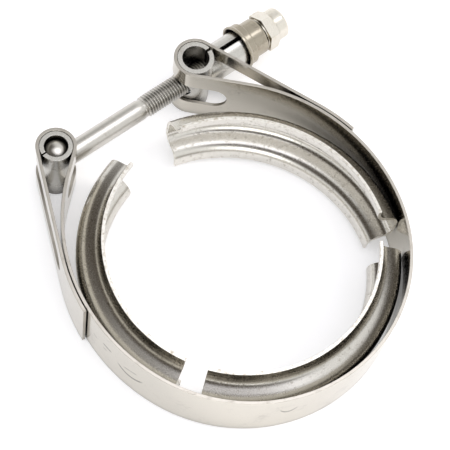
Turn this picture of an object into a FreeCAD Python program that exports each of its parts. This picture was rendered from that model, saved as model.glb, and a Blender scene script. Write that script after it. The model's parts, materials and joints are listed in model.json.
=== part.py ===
import FreeCAD, Part
import math
import os

import Sketcher

# A V-band hose and flange clamp of stainless steel, lying as it rests on its band's edge.
#
# Frame: the origin lies on the clamp's axis, half way up the band.  +Z runs along that axis, the
# T-bolt runs along +X from the T barrel to the lock nut, and the bolt stands on the +Y side of the
# ring.  Lengths are in millimetres and angles in degrees, counted from +X about +Z.

SIZES = {
    # the strap that is bent into the ring and folded back at both ends
    "band_width": 25.4,
    "band_thickness": 1.1,
    "ring_bottom_radius": 55.35,
    "ring_bottom_drop": 3.85,
    "left_side_flattening": 10.05,
    "left_side_start_angle": 201.0,
    "right_side_flattening": 6.65,
    "right_side_start_angle": 339.0,
    "leg_gap": 0.35,
    "left_leg_end_angle": 173.5,
    "right_leg_end_angle": 8.0,
    "loop_clearance": 0.15,
    # the long round-ended slots that part each loop into an upper and a lower leg
    "left_slot_height": 10.2,
    "left_slot_inner": 6.0,
    "left_slot_outer": 33.0,
    "right_slot_height": 10.2,
    "right_slot_inner": 7.8,
    "right_slot_outer": 33.0,
    "sleeve_slot_clearance": 0.35,
    "sleeve_slot_turn_angle": 67.0,
    "slot_cut_margin": 0.15,
    # the bolt line
    "barrel_spacing": 58.9,
    "left_neck_gap": 0.6548,
    # the T barrel, rolled from plate, and the T-bolt whose cross bar lies in it
    "barrel_inset": 0.2,
    "left_barrel_diameter": 11.2,
    "left_barrel_wall": 1.55,
    "left_barrel_slit": 0.6,
    "bolt_diameter": 7.94,
    "shank_diameter": 7.35,
    "shank_length": 35.7,
    "thread_runout": 1.0,
    "head_diameter": 7.9,
    "head_inset": 2.4,
    "head_dome_height": 1.6,
    "bolt_length": 97.2,
    "bolt_end_chamfer": 0.9,
    "shank_hole_clearance": 0.02,
    # the trunnion barrel and the rolled sleeve that bears on it
    "right_barrel_diameter": 12.7,
    "right_barrel_wall": 1.65,
    "right_barrel_slit": 1.0,
    "bolt_hole_clearance": 0.5,
    "sleeve_diameter": 12.7,
    "sleeve_wall": 1.55,
    "sleeve_seam": 1.6,
    "sleeve_seam_angle": 88.0,
    "saddle_clearance": 0.05,
    # the drawn cup that caps the sleeve
    "cup_start": 20.1,
    "cup_bell_depth": 3.1,
    "cup_length": 9.8,
    "cup_wall": 0.7,
    "cup_sleeve_clearance": 0.75,
    "cup_lip_step": 0.45,
    "cup_neck_step": 1.05,
    "cup_bolt_clearance": 0.3,
    "cup_shoulder_rounding": 0.5,
    "cup_back_rounding": 1.3,
    "cup_seat_gap": 0.05,
    # the lock nut: washer face, hexagon and the crimped collar
    "nut_across_flats": 12.7,
    "nut_face_diameter": 12.0,
    "nut_face_height": 0.6,
    "nut_seat_gap": 0.05,
    "nut_hex_height": 4.2,
    "nut_chamfer_height": 0.6,
    "nut_chamfer_diameter": 12.9,
    "collar_diameter": 11.8,
    "collar_height": 5.0,
    "collar_rounding": 1.3,
    "nut_thread_clearance": 0.05,
    "nut_turn_angle": 24.0,
    # the V-section retainer segments
    "segment_sheet": 1.2,
    "segment_web_width": 10.0,
    "segment_flank_angle": 20.0,
    "segment_depth": 9.2,
    "segment_height": 24.2,
    "segment_bend_radius": 2.3,
    "segment_seat_gap": 0.1,
    "segment_shortfall": 0.45,
    "left_segment_span_angle": 103.2,
    "left_segment_middle_angle": 156.6,
    "left_segment_touch_angle": 194.0,
    "sprung_segment_excess": 0.75,
    "bottom_segment_span_angle": 105.0,
    "bottom_segment_heel_angle": 216.4,
    "bottom_segment_left_gap": 0.2,
    "bottom_segment_right_gap": 0.5,
    "right_segment_span_angle": 101.7,
    "right_segment_middle_angle": 28.1,
    "right_segment_heel_angle": 335.0,
    "right_segment_heel_gap": 0.4,
    "right_segment_lean_angle": 6.0,
}

ALONG_Z = FreeCAD.Vector(0, 0, 1)
QUARTER_TURN = 90.0
FULL_TURN = 360.0
TOLERANCE = 0.01

doc = FreeCAD.newDocument("v_band_clamp")
sheet = doc.addObject("Spreadsheet::Sheet", "Sizes")
for row, (alias, number) in enumerate(SIZES.items(), start=1):
    sheet.set("A%d" % row, alias)
    sheet.set("B%d" % row, str(number))
    sheet.setAlias("B%d" % row, alias)
doc.recompute()


class Size:
    """A length or angle worked out from the sheet: its value and the expression that gives it."""

    def __init__(self, value, text):
        self.value = value
        self.text = text

    def __add__(self, other):
        other = as_size(other)
        return Size(self.value + other.value, "(%s + %s)" % (self.text, other.text))

    def __sub__(self, other):
        other = as_size(other)
        return Size(self.value - other.value, "(%s - %s)" % (self.text, other.text))

    def __mul__(self, other):
        other = as_size(other)
        return Size(self.value * other.value, "(%s * %s)" % (self.text, other.text))

    def __truediv__(self, other):
        other = as_size(other)
        return Size(self.value / other.value, "(%s / %s)" % (self.text, other.text))

    def __neg__(self):
        return Size(-self.value, "(0 - %s)" % self.text)


def as_size(number):
    """Return a Size as it is, and a plain number as a Size."""
    if isinstance(number, Size):
        return number
    return Size(number, repr(number))


def tangent_of(angle):
    """Return the tangent of an angle in degrees as a Size."""
    return Size(math.tan(math.radians(angle.value)), "tan(%s * 1deg)" % angle.text)


def root_of(square):
    """Return the square root as a Size."""
    return Size(math.sqrt(square.value), "sqrt(%s)" % square.text)


def angle_of_sine(ratio):
    """Return the angle in degrees whose sine is a ratio, as a Size."""
    return Size(math.degrees(math.asin(ratio.value)), "asin(%s)" % ratio.text)


def size(alias):
    """Return one cell of the sheet as a Size."""
    return Size(float(sheet.get(alias)), "Sizes." + alias)


def bind(thing, **properties):
    """Bind properties of an object to sizes."""
    for name, value in properties.items():
        thing.setExpression(name, as_size(value).text)


# ---------------------------------------------------------------- values shared by several pieces

band_width = size("band_width")
band_thickness = size("band_thickness")
left_barrel_radius = size("left_barrel_diameter") / 2
right_barrel_radius = size("right_barrel_diameter") / 2
sleeve_radius = size("sleeve_diameter") / 2
bolt_radius = size("bolt_diameter") / 2
shank_radius = size("shank_diameter") / 2
ring_inner_radius = size("ring_bottom_radius") - band_thickness
close_radius = ring_inner_radius - size("segment_shortfall")
sprung_radius = ring_inner_radius + size("sprung_segment_excess")
half_spacing = size("barrel_spacing") / 2
nut_seat = size("cup_start") + size("cup_length") + size("nut_seat_gap")

barrel_length = band_width - size("barrel_inset") * 2


def unit(angle):
    """Return the unit vector in the XY plane at an angle in degrees."""
    return FreeCAD.Vector(math.cos(math.radians(angle)), math.sin(math.radians(angle)), 0)


def heading(vector):
    """Return the angle of a vector in the XY plane, in degrees."""
    return math.degrees(math.atan2(vector.y, vector.x))


def checked(solid, name):
    """Return a solid after making sure that it is one valid solid."""
    if solid.isNull() or not solid.isValid() or len(solid.Solids) != 1:
        raise RuntimeError("bad shape: " + name)
    return solid


# ---------------------------------------------------------------- the strap's route in plan

class Line:
    """A straight stretch of the strap's middle line."""

    def __init__(self, start, end):
        self.start = start
        self.end = end
        self.length = (end - start).Length

    def at(self, distance):
        """Return the point and the travel direction at a distance along the stretch."""
        along = (self.end - self.start).normalize()
        return self.start + along * distance, along

    def part(self, first, last):
        """Return the stretch between two distances."""
        return Line(self.at(first)[0], self.at(last)[0])

    def edge(self, offset):
        """Return the edge that runs beside the middle line, offset to the left of travel."""
        along = (self.end - self.start).normalize()
        side = ALONG_Z.cross(along) * offset
        return Part.LineSegment(self.start + side, self.end + side).toShape()


class Arc:
    """A round stretch of the strap's middle line; a positive sweep turns anticlockwise."""

    def __init__(self, centre, radius, start, sweep):
        self.centre = centre
        self.radius = radius
        self.start = start
        self.sweep = sweep
        self.turn = math.copysign(1, sweep)
        self.length = radius * math.radians(abs(sweep))

    def at(self, distance):
        """Return the point and the travel direction at a distance along the stretch."""
        angle = self.start + self.turn * math.degrees(distance / self.radius)
        return self.centre + unit(angle) * self.radius, unit(angle + self.turn * QUARTER_TURN)

    def part(self, first, last):
        """Return the stretch between two distances."""
        start = self.start + self.turn * math.degrees(first / self.radius)
        return Arc(self.centre, self.radius, start, self.turn * math.degrees((last - first) / self.radius))

    def edge(self, offset):
        """Return the edge that runs beside the middle line, offset to the left of travel."""
        radius = self.radius - self.turn * offset
        angles = (self.start, self.start + self.sweep / 2, self.start + self.sweep)
        points = [self.centre + unit(angle) * radius for angle in angles]
        return Part.Arc(*points).toShape()


def strip_face(route, thickness):
    """Return the plan face of a strip of a given thickness that follows a route."""
    left = [stretch.edge(thickness / 2) for stretch in route]
    right = [stretch.edge(-thickness / 2) for stretch in route]
    ends = []
    for stretch, distance in ((route[0], 0), (route[-1], route[-1].length)):
        point, along = stretch.at(distance)
        side = ALONG_Z.cross(along) * (thickness / 2)
        ends.append(Part.LineSegment(point - side, point + side).toShape())
    edges = left + [ends[1]] + right[::-1] + [ends[0]]
    return Part.Face(Part.Wire(Part.__sortEdges__(edges)))


def clipped(route, first, last):
    """Return the part of a route between two distances from its start."""
    stretches = []
    passed = 0
    for stretch in route:
        start = max(first - passed, 0)
        end = min(last - passed, stretch.length)
        if end > start:
            stretches.append(stretch.part(start, end))
        passed += stretch.length
    return stretches


def route_length(route):
    """Return the length of a route."""
    return sum(stretch.length for stretch in route)


def at_distance(route, distance):
    """Return the point and the travel direction at a distance along a route."""
    for stretch in route:
        if distance <= stretch.length:
            return stretch.at(distance)
        distance -= stretch.length
    return route[-1].at(route[-1].length)


RING_BOTTOM_CENTRE = FreeCAD.Vector(0, -SIZES["ring_bottom_drop"], 0)


def side_arc(which):
    """Return the centre and the outer radius of the ring on one side."""
    shift = SIZES[which + "_side_flattening"]
    centre = RING_BOTTOM_CENTRE - unit(SIZES[which + "_side_start_angle"]) * shift
    return centre, SIZES["ring_bottom_radius"] + shift


def bolt_line_height():
    """Return how far the bolt line lies from the X axis, in Y.

    The left loop's inside stands off the ring's outside by the neck gap, along the line that
    joins the barrel's centre to the centre of the ring's left side.
    """
    centre, radius = side_arc("left")
    reach = radius + left_barrel_radius.value + SIZES["loop_clearance"] + SIZES["left_neck_gap"]
    return centre.y + math.sqrt(reach ** 2 - (half_spacing.value + centre.x) ** 2)


LEFT_BARREL = FreeCAD.Vector(-half_spacing.value, bolt_line_height(), 0)
RIGHT_BARREL = FreeCAD.Vector(half_spacing.value, bolt_line_height(), 0)


class Side:
    """One side of the ring with its loop: where the strap leaves the ring and comes back to it.

    The ring's bottom arc passes into the side arc, the inner leg runs on from the side arc to the
    loop round the barrel, and the outer leg runs back from the loop onto the ring's outside.
    """

    def __init__(self, which, barrel, barrel_radius, hand):
        self.hand = hand
        self.first = SIZES[which + "_side_start_angle"]
        self.centre, self.radius = side_arc(which)
        self.barrel = barrel
        self.loop_radius = barrel_radius.value + SIZES["loop_clearance"]
        self.leg_radius = self.radius + SIZES["leg_gap"]
        away = barrel - self.centre
        inner_lean = math.degrees(math.acos((self.radius + self.loop_radius) / away.Length))
        outer_lean = math.degrees(math.acos((self.leg_radius - self.loop_radius) / away.Length))
        self.inner_normal = heading(away) + hand * inner_lean
        self.outer_normal = heading(away) + hand * outer_lean
        self.leg_end = SIZES[which + "_leg_end_angle"]

    def outer_leg(self):
        """Return the round stretch on the ring and the straight one up to the loop."""
        half = SIZES["band_thickness"] / 2
        normal = unit(self.outer_normal)
        on_ring = Arc(self.centre, self.leg_radius + half, self.leg_end, self.outer_normal - self.leg_end)
        start = self.centre + normal * (self.leg_radius + half)
        end = self.barrel + normal * (self.loop_radius + half)
        return [on_ring, Line(start, end)]

    def loop(self):
        """Return the round stretch about the barrel, from the outer leg to the inner one."""
        half = SIZES["band_thickness"] / 2
        last = self.inner_normal - self.hand * FULL_TURN / 2
        return [Arc(self.barrel, self.loop_radius + half, self.outer_normal, last - self.outer_normal)]

    def inner_leg(self):
        """Return the straight stretch from the loop down to the ring."""
        half = SIZES["band_thickness"] / 2
        normal = unit(self.inner_normal)
        start = self.barrel - normal * (self.loop_radius + half)
        return [Line(start, self.centre + normal * (self.radius - half))]

    def ring(self):
        """Return the round stretch from the inner leg to the bottom arc."""
        first = self.first - FULL_TURN if self.hand < 0 else self.first
        radius = self.radius - SIZES["band_thickness"] / 2
        return [Arc(self.centre, radius, self.inner_normal, first - self.inner_normal)]

    def route(self):
        """Return the whole side from its free end to the bottom arc."""
        return self.outer_leg() + self.loop() + self.inner_leg() + self.ring()

    def slot(self, inner, outer):
        """Return the route of a slot that reaches given distances down the inner and outer legs."""
        before = route_length(self.outer_leg())
        after = before + self.loop()[0].length
        return clipped(self.route(), before - outer, after + inner)


LEFT = Side("left", LEFT_BARREL, left_barrel_radius, 1)
RIGHT = Side("right", RIGHT_BARREL, right_barrel_radius, -1)


def reversed_route(route):
    """Return the same route travelled the other way."""
    turned = []
    for stretch in reversed(route):
        if isinstance(stretch, Line):
            turned.append(Line(stretch.end, stretch.start))
        else:
            end = stretch.start + stretch.sweep
            turned.append(Arc(stretch.centre, stretch.radius, end, -stretch.sweep))
    return turned


def strap_route():
    """Return the strap's middle line from one free end round the ring to the other."""
    radius = SIZES["ring_bottom_radius"] - SIZES["band_thickness"] / 2
    bottom = Arc(RING_BOTTOM_CENTRE, radius, LEFT.first, RIGHT.first - LEFT.first)
    return LEFT.route() + [bottom] + reversed_route(RIGHT.route())


# ---------------------------------------------------------------- helpers for document objects

def plan_feature(name, face):
    """Add a flat face in the XY plane as a document object."""
    feature = doc.addObject("Part::Feature", name)
    feature.Shape = face
    return feature


def extruded(name, base, height):
    """Extrude a flat face by a size, half of it to each side of the XY plane."""
    solid = doc.addObject("Part::Extrusion", name)
    solid.Base = base
    solid.DirMode = "Custom"
    solid.Dir = ALONG_Z
    solid.Solid = True
    solid.Symmetric = True
    bind(solid, LengthFwd=height)
    return solid


def cylinder(name, radius, height, placement):
    """Add a cylinder whose axis starts at the placement and runs along its Z."""
    solid = doc.addObject("Part::Cylinder", name)
    bind(solid, Radius=radius, Height=height)
    solid.Placement = placement
    return solid


def box(name, length, width, height, placement):
    """Add a box with one corner at the placement."""
    solid = doc.addObject("Part::Box", name)
    bind(solid, Length=length, Width=width, Height=height)
    solid.Placement = placement
    return solid


def dome(name, rim_radius, height, placement):
    """Add the cap of a ball: its rim lies round the placement and its crown stands along Z."""
    ball_radius = (rim_radius * rim_radius + height * height) / (height * 2)
    solid = doc.addObject("Part::Sphere", name)
    bind(solid, Radius=ball_radius, Angle1=angle_of_sine((ball_radius - height) / ball_radius))
    sunk = FreeCAD.Placement(ALONG_Z * (height - ball_radius).value, FreeCAD.Rotation())
    solid.Placement = placement.multiply(sunk)
    return solid


def fused(name, pieces):
    """Join several document objects into one."""
    joined = doc.addObject("Part::MultiFuse", name)
    joined.Shapes = pieces
    return joined


def cut(name, base, tools):
    """Cut a base by one tool or by several joined tools, and name the result as a sub-part."""
    tool = tools[0] if len(tools) == 1 else fused(name + "_tools", tools)
    result = doc.addObject("Part::Cut", name)
    result.Base = base
    result.Tool = tool
    result.Label = name
    return result


def upright(point, below):
    """Return a placement on a vertical axis, a given depth below the XY plane."""
    return FreeCAD.Placement(point - ALONG_Z * below, FreeCAD.Rotation())


def pointing(point, direction):
    """Return a placement whose Z runs along a direction."""
    return FreeCAD.Placement(point, FreeCAD.Rotation(ALONG_Z, direction))


def origin_plane(body, role):
    """Return one of a body's own origin planes."""
    for feature in body.Origin.OriginFeatures:
        if feature.Role == role:
            return feature
    raise RuntimeError("no plane " + role)


def profile_sketch(body, name, corners):
    """Add a closed profile on the body's XZ plane, each corner held by two bound dimensions."""
    sketch = body.newObject("Sketcher::SketchObject", name)
    sketch.AttachmentSupport = [(origin_plane(body, "XZ_Plane"), "")]
    sketch.MapMode = "FlatFace"
    count = len(corners)
    points = [FreeCAD.Vector(as_size(x).value, as_size(y).value, 0) for x, y in corners]
    for index in range(count):
        sketch.addGeometry(Part.LineSegment(points[index], points[(index + 1) % count]), False)
    for index in range(count):
        sketch.addConstraint(Sketcher.Constraint("Coincident", index, 2, (index + 1) % count, 1))
    for index, (x, y) in enumerate(corners):
        for kind, coordinate in (("DistanceX", as_size(x)), ("DistanceY", as_size(y))):
            place = sketch.addConstraint(
                Sketcher.Constraint(kind, -1, 1, index, 1, coordinate.value)
            )
            sketch.setExpression("Constraints[%d]" % place, coordinate.text)
    return sketch


def rim_at(place, radius):
    """Return a test that picks the round edge of a given radius at a place along the X axis."""

    def picked(edge):
        curve = edge.Curve
        if not isinstance(curve, Part.Circle):
            return False
        beside = abs(curve.Center.x - place.value)
        return beside < TOLERANCE and abs(curve.Radius - radius.value) < TOLERANCE

    return picked


def rounded(body, name, base, picked, radius):
    """Round the edges of a feature that a test picks."""
    numbers = [
        "Edge%d" % (index + 1)
        for index, edge in enumerate(base.Shape.Edges)
        if picked(edge)
    ]
    fillet = body.newObject("PartDesign::Fillet", name)
    fillet.Base = (base, numbers)
    bind(fillet, Radius=radius)
    doc.recompute()
    return fillet


# ---------------------------------------------------------------- band

def make_band():
    """The strap: ring, loops and folded legs in one piece, slotted round both loops."""
    outline = plan_feature("band_outline", strip_face(strap_route(), SIZES["band_thickness"]))
    strap = extruded("band_strap", outline, band_width)
    tools = slot_tools("left_slot", LEFT, size("left_slot_height"), "left_slot_inner", "left_slot_outer")
    tools += slot_tools("right_slot", RIGHT, size("right_slot_height"), "right_slot_inner", "right_slot_outer")
    tools += sleeve_slot_tools()
    return cut("band", strap, tools)


def slot_tools(name, side, height, inner, outer):
    """Return the cutters of one slot: a strip along the strap and a round end at each leg."""
    route = side.slot(SIZES[inner], SIZES[outer])
    return strip_cutters(name, route, height, (0, route_length(route)))


def sleeve_slot_tools():
    """Return the cutters that widen the right slot where the sleeve passes the outer leg."""
    route = RIGHT.slot(SIZES["right_slot_inner"], SIZES["right_slot_outer"])
    turn = math.radians(SIZES["sleeve_slot_turn_angle"])
    leg = SIZES["right_slot_outer"] + RIGHT.loop()[0].radius * turn
    wide = clipped(route, 0, leg)
    height = size("sleeve_diameter") + size("sleeve_slot_clearance") * 2
    return strip_cutters("sleeve_slot", wide, height, (0, leg))


def strip_cutters(name, route, height, ends):
    """Return a strip along a route, a little thicker than the strap, with round ends."""
    thickness = SIZES["band_thickness"] + 2 * SIZES["slot_cut_margin"]
    face = plan_feature(name + "_outline", strip_face(route, thickness))
    cutters = [extruded(name + "_strip", face, height)]
    for number, distance in enumerate(ends):
        point, along = at_distance(route, distance)
        across = ALONG_Z.cross(along)
        start = point - across * (thickness / 2)
        length = band_thickness + size("slot_cut_margin") * 2
        end = cylinder("%s_end_%d" % (name, number), height / 2, length, pointing(start, across))
        cutters.append(end)
    return cutters


# ---------------------------------------------------------------- barrels, sleeve and bolt

def make_barrel(name, centre, radius, wall, slit, slit_side, hole_radius):
    """A tube rolled from plate, with its slit on one side and a hole for the bolt on the other."""
    half = barrel_length.value / 2
    tube = cylinder(name + "_tube", radius, barrel_length, upright(centre, half))
    bore = cylinder(name + "_bore", radius - wall, barrel_length, upright(centre, half))
    corner = centre + FreeCAD.Vector(min(0, slit_side * radius.value), -slit.value / 2, -half)
    gap = box(name + "_slit", radius, slit, barrel_length, FreeCAD.Placement(corner, FreeCAD.Rotation()))
    side = FreeCAD.Vector(-slit_side, 0, 0)
    hole = cylinder(name + "_hole", hole_radius, radius, pointing(centre, side))
    return cut(name, tube, [bore, gap, hole])


def make_left_barrel():
    """The barrel that holds the T-bolt's head."""
    hole = shank_radius + size("shank_hole_clearance")
    slit = size("left_barrel_slit")
    return make_barrel("t_barrel", LEFT_BARREL, left_barrel_radius, size("left_barrel_wall"), slit, -1, hole)


def make_right_barrel():
    """The barrel that the bolt passes through: its slit lies in the way of the bolt's outer hole."""
    hole = bolt_radius + size("bolt_hole_clearance")
    slit = size("right_barrel_slit")
    wall = size("right_barrel_wall")
    tube = make_barrel("trunnion_tube", RIGHT_BARREL, right_barrel_radius, wall, slit, 1, hole)
    outward = FreeCAD.Vector(1, 0, 0)
    far_hole = cylinder("trunnion_far_hole", hole, right_barrel_radius, pointing(RIGHT_BARREL, outward))
    return cut("trunnion_barrel", tube, [far_hole])


def make_sleeve():
    """The rolled sleeve between the trunnion barrel and the cup, seam upward, saddle at its foot."""
    along = FreeCAD.Vector(1, 0, 0)
    length = size("cup_start") + size("cup_bell_depth") - size("cup_seat_gap")
    tube = cylinder("sleeve_tube", sleeve_radius, length, pointing(RIGHT_BARREL, along))
    bore = cylinder("sleeve_bore", sleeve_radius - size("sleeve_wall"), length, pointing(RIGHT_BARREL, along))
    seat_radius = right_barrel_radius + size("saddle_clearance")
    depth = size("sleeve_diameter")
    saddle = cylinder("sleeve_saddle", seat_radius, depth, upright(RIGHT_BARREL, depth.value / 2))
    seam_width = size("sleeve_seam")
    turn = FreeCAD.Rotation(along, SIZES["sleeve_seam_angle"])
    corner = RIGHT_BARREL - turn.multVec(FreeCAD.Vector(0, 0, seam_width.value / 2))
    seam = box("sleeve_seam_gap", length, sleeve_radius, seam_width, FreeCAD.Placement(corner, turn))
    return cut("spacer_sleeve", tube, [bore, saddle, seam])


def turned_body(name, corners, placement):
    """A body turned about its own X axis from a closed profile above that axis."""
    body = doc.addObject("PartDesign::Body", name)
    body.Label = name
    sketch = profile_sketch(body, name + "_profile", corners)
    turned = body.newObject("PartDesign::Revolution", name + "_turned")
    turned.Profile = sketch
    turned.ReferenceAxis = (sketch, ["H_Axis"])
    turned.Angle = FULL_TURN
    body.Placement = placement
    doc.recompute()
    return body, turned


def make_bolt():
    """The T-bolt: cross bar with domed ends, plain shank rolled down to the thread's pitch size."""
    shank_end = size("shank_length")
    runout = size("thread_runout")
    length = size("bolt_length")
    point = size("bolt_end_chamfer")
    corners = [
        (0.0, 0.0),
        (length, 0.0),
        (length, bolt_radius - point),
        (length - point, bolt_radius),
        (shank_end + runout, bolt_radius),
        (shank_end, shank_radius),
        (0.0, shank_radius),
    ]
    start = FreeCAD.Placement(LEFT_BARREL, FreeCAD.Rotation())
    shank = turned_body("t_bolt_shank", corners, start)[0]
    head_radius = size("head_diameter") / 2
    bar_length = barrel_length - size("head_inset") * 2
    half = bar_length.value / 2
    bar = cylinder("t_bolt_bar", head_radius, bar_length, upright(LEFT_BARREL, half))
    domes = []
    for name, outward in (("t_bolt_upper_dome", ALONG_Z), ("t_bolt_lower_dome", -ALONG_Z)):
        rim = pointing(LEFT_BARREL + outward * half, outward)
        domes.append(dome(name, head_radius, size("head_dome_height"), rim))
    bolt = fused("t_bolt", [shank, bar] + domes)
    bolt.Label = "t_bolt"
    return bolt


def make_cup():
    """The drawn cup: a flared bell over the sleeve's end, a shoulder, a neck and a pierced back."""
    wall = size("cup_wall")
    bell = sleeve_radius + size("cup_sleeve_clearance") + wall
    mouth = bell + size("cup_lip_step")
    neck = bell - size("cup_neck_step")
    hole = bolt_radius + size("cup_bolt_clearance")
    depth = size("cup_bell_depth")
    length = size("cup_length")
    lip = wall
    corners = [
        (0.0, mouth - wall),
        (0.0, mouth),
        (lip, mouth),
        (lip * 2, bell),
        (depth + wall, bell),
        (depth + wall, neck),
        (length, neck),
        (length, hole),
        (length - wall, hole),
        (length - wall, neck - wall),
        (depth, neck - wall),
        (depth, bell - wall),
        (lip, bell - wall),
    ]
    start = RIGHT_BARREL + FreeCAD.Vector(SIZES["cup_start"], 0, 0)
    body, turned = turned_body("sleeve_cup", corners, FreeCAD.Placement(start, FreeCAD.Rotation()))
    shoulder = rim_at(depth + wall, bell)
    eased = rounded(body, "sleeve_cup_shoulder", turned, shoulder, size("cup_shoulder_rounding"))
    rounded(body, "sleeve_cup_back", eased, rim_at(length, neck), size("cup_back_rounding"))
    return body


def make_nut():
    """The lock nut: a round washer face, a hexagon chamfered at both ends and a rounded collar."""
    body = doc.addObject("PartDesign::Body", "lock_nut")
    body.Label = "lock_nut"
    flats = size("nut_across_flats")
    corner_radius = flats / (root_of(as_size(3.0)))
    hexagon = body.newObject("Sketcher::SketchObject", "lock_nut_hexagon")
    hexagon.AttachmentSupport = [(origin_plane(body, "YZ_Plane"), "")]
    hexagon.MapMode = "FlatFace"
    corners = [unit(60 * index) * corner_radius.value for index in range(6)]
    for index in range(6):
        hexagon.addGeometry(Part.LineSegment(corners[index], corners[(index + 1) % 6]), False)
    for index in range(6):
        hexagon.addConstraint(Sketcher.Constraint("Coincident", index, 2, (index + 1) % 6, 1))
    rim = hexagon.addGeometry(
        Part.Circle(FreeCAD.Vector(0, 0, 0), ALONG_Z, corner_radius.value), True
    )
    hexagon.addConstraint(Sketcher.Constraint("Coincident", rim, 3, -1, 1))
    for index in range(6):
        hexagon.addConstraint(Sketcher.Constraint("PointOnObject", index, 1, rim))
    for index in range(5):
        hexagon.addConstraint(Sketcher.Constraint("Equal", index, index + 1))
    hexagon.addConstraint(Sketcher.Constraint("PointOnObject", 0, 1, -1))
    reach = hexagon.addConstraint(Sketcher.Constraint("Radius", rim, corner_radius.value))
    hexagon.setExpression("Constraints[%d]" % reach, corner_radius.text)
    face = size("nut_face_height")
    height = size("nut_hex_height")
    pad = body.newObject("PartDesign::Pad", "lock_nut_block")
    pad.Profile = hexagon
    bind(pad, Length=face + height)
    doc.recompute()
    chamfer = size("nut_chamfer_height")
    face_radius = size("nut_face_diameter") / 2
    crown = size("nut_chamfer_diameter") / 2
    beyond = corner_radius + 1.0
    trims = {
        "lock_nut_face": [(0.0, face_radius), (0.0, beyond), (face, beyond), (face, face_radius)],
        "lock_nut_crown": [
            (face + height, crown),
            (face + height, beyond),
            (face + height - chamfer, beyond),
            (face + height - chamfer, corner_radius),
        ],
    }
    for name, outline in trims.items():
        trim = body.newObject("PartDesign::Groove", name)
        trim.Profile = profile_sketch(body, name + "_profile", outline)
        trim.ReferenceAxis = (trim.Profile[0], ["H_Axis"])
        trim.Angle = FULL_TURN
        doc.recompute()
    collar_radius = size("collar_diameter") / 2
    bore = bolt_radius + size("nut_thread_clearance")
    top = face + height + size("collar_height")
    collar = body.newObject("PartDesign::Revolution", "lock_nut_collar")
    collar.Profile = profile_sketch(
        body,
        "lock_nut_collar_profile",
        [(height, bore), (top, bore), (top, collar_radius), (height, collar_radius)],
    )
    collar.ReferenceAxis = (collar.Profile[0], ["H_Axis"])
    collar.Angle = FULL_TURN
    doc.recompute()
    rounded(body, "lock_nut_rounding", collar, rim_at(top, collar_radius), size("collar_rounding"))
    hole = body.newObject("PartDesign::Groove", "lock_nut_thread")
    hole.Profile = profile_sketch(
        body, "lock_nut_thread_profile", [(0.0, 0.0), (top, 0.0), (top, bore), (0.0, bore)]
    )
    hole.ReferenceAxis = (hole.Profile[0], ["H_Axis"])
    hole.Angle = FULL_TURN
    start = RIGHT_BARREL + FreeCAD.Vector(nut_seat.value, 0, 0)
    turn = FreeCAD.Rotation(FreeCAD.Vector(1, 0, 0), SIZES["nut_turn_angle"])
    body.Placement = FreeCAD.Placement(start, turn)
    doc.recompute()
    return body


# ---------------------------------------------------------------- V segments

def v_corners(web):
    """Return the V section: a flat web outside, two flanks and two upright lips inside.

    The section lies in the plane of radius and height.  Each bend is a sharp corner here and is
    rounded afterwards, and the sheet keeps one thickness all round.
    """
    sheet_thickness = size("segment_sheet")
    half_web = size("segment_web_width") / 2
    slope = size("segment_flank_angle")
    lip_face = web - size("segment_depth")
    tip = size("segment_height") / 2
    rise = (size("segment_depth") - sheet_thickness) * tangent_of(slope)
    drop = sheet_thickness * tangent_of((as_size(QUARTER_TURN) - slope) / 2)
    upper = [
        (web, half_web),
        (lip_face + sheet_thickness, half_web + rise),
        (lip_face + sheet_thickness, tip),
        (lip_face, tip),
        (lip_face, half_web + rise - drop),
        (web - sheet_thickness, half_web - drop),
    ]
    lower = [(radius, -height) for radius, height in reversed(upper)]
    return upper + lower


def make_segment(name, radius, span, middle, centre, lean):
    """One V segment: the section turned through its span, then set in the ring."""
    body = doc.addObject("PartDesign::Body", name)
    body.Label = name
    section = profile_sketch(body, name + "_section", v_corners(radius))
    swept = body.newObject("PartDesign::Revolution", name + "_swept")
    swept.Profile = section
    swept.ReferenceAxis = (section, ["V_Axis"])
    swept.Midplane = True
    bind(swept, Angle=span)
    doc.recompute()
    web = radius.value
    thickness = size("segment_sheet").value
    lip_face = web - size("segment_depth").value
    tip = size("segment_height").value / 2
    outer_radii = {round(web, 3), round(lip_face, 3)}

    def is_bend(edge, radii):
        curve = edge.Curve
        if not isinstance(curve, Part.Circle) or curve.Axis.cross(ALONG_Z).Length > TOLERANCE:
            return False
        return round(curve.Radius, 3) in radii and abs(curve.Center.z) < tip - TOLERANCE

    bend = size("segment_bend_radius")
    inner = rounded(
        body,
        name + "_inner_bends",
        swept,
        lambda edge: is_bend(edge, {round(web - thickness, 3), round(lip_face + thickness, 3)}),
        bend,
    )
    rounded(
        body,
        name + "_outer_bends",
        inner,
        lambda edge: is_bend(edge, outer_radii),
        bend + size("segment_sheet"),
    )
    turn = FreeCAD.Rotation(ALONG_Z, middle)
    placement = FreeCAD.Placement(centre, turn)
    if lean:
        pivot = centre + unit(middle) * web
        tangent = unit(middle + QUARTER_TURN)
        tilt = FreeCAD.Rotation(tangent, lean)
        placement = FreeCAD.Placement(FreeCAD.Vector(), tilt, pivot).multiply(placement)
    body.Placement = placement
    doc.recompute()
    return body


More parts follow.
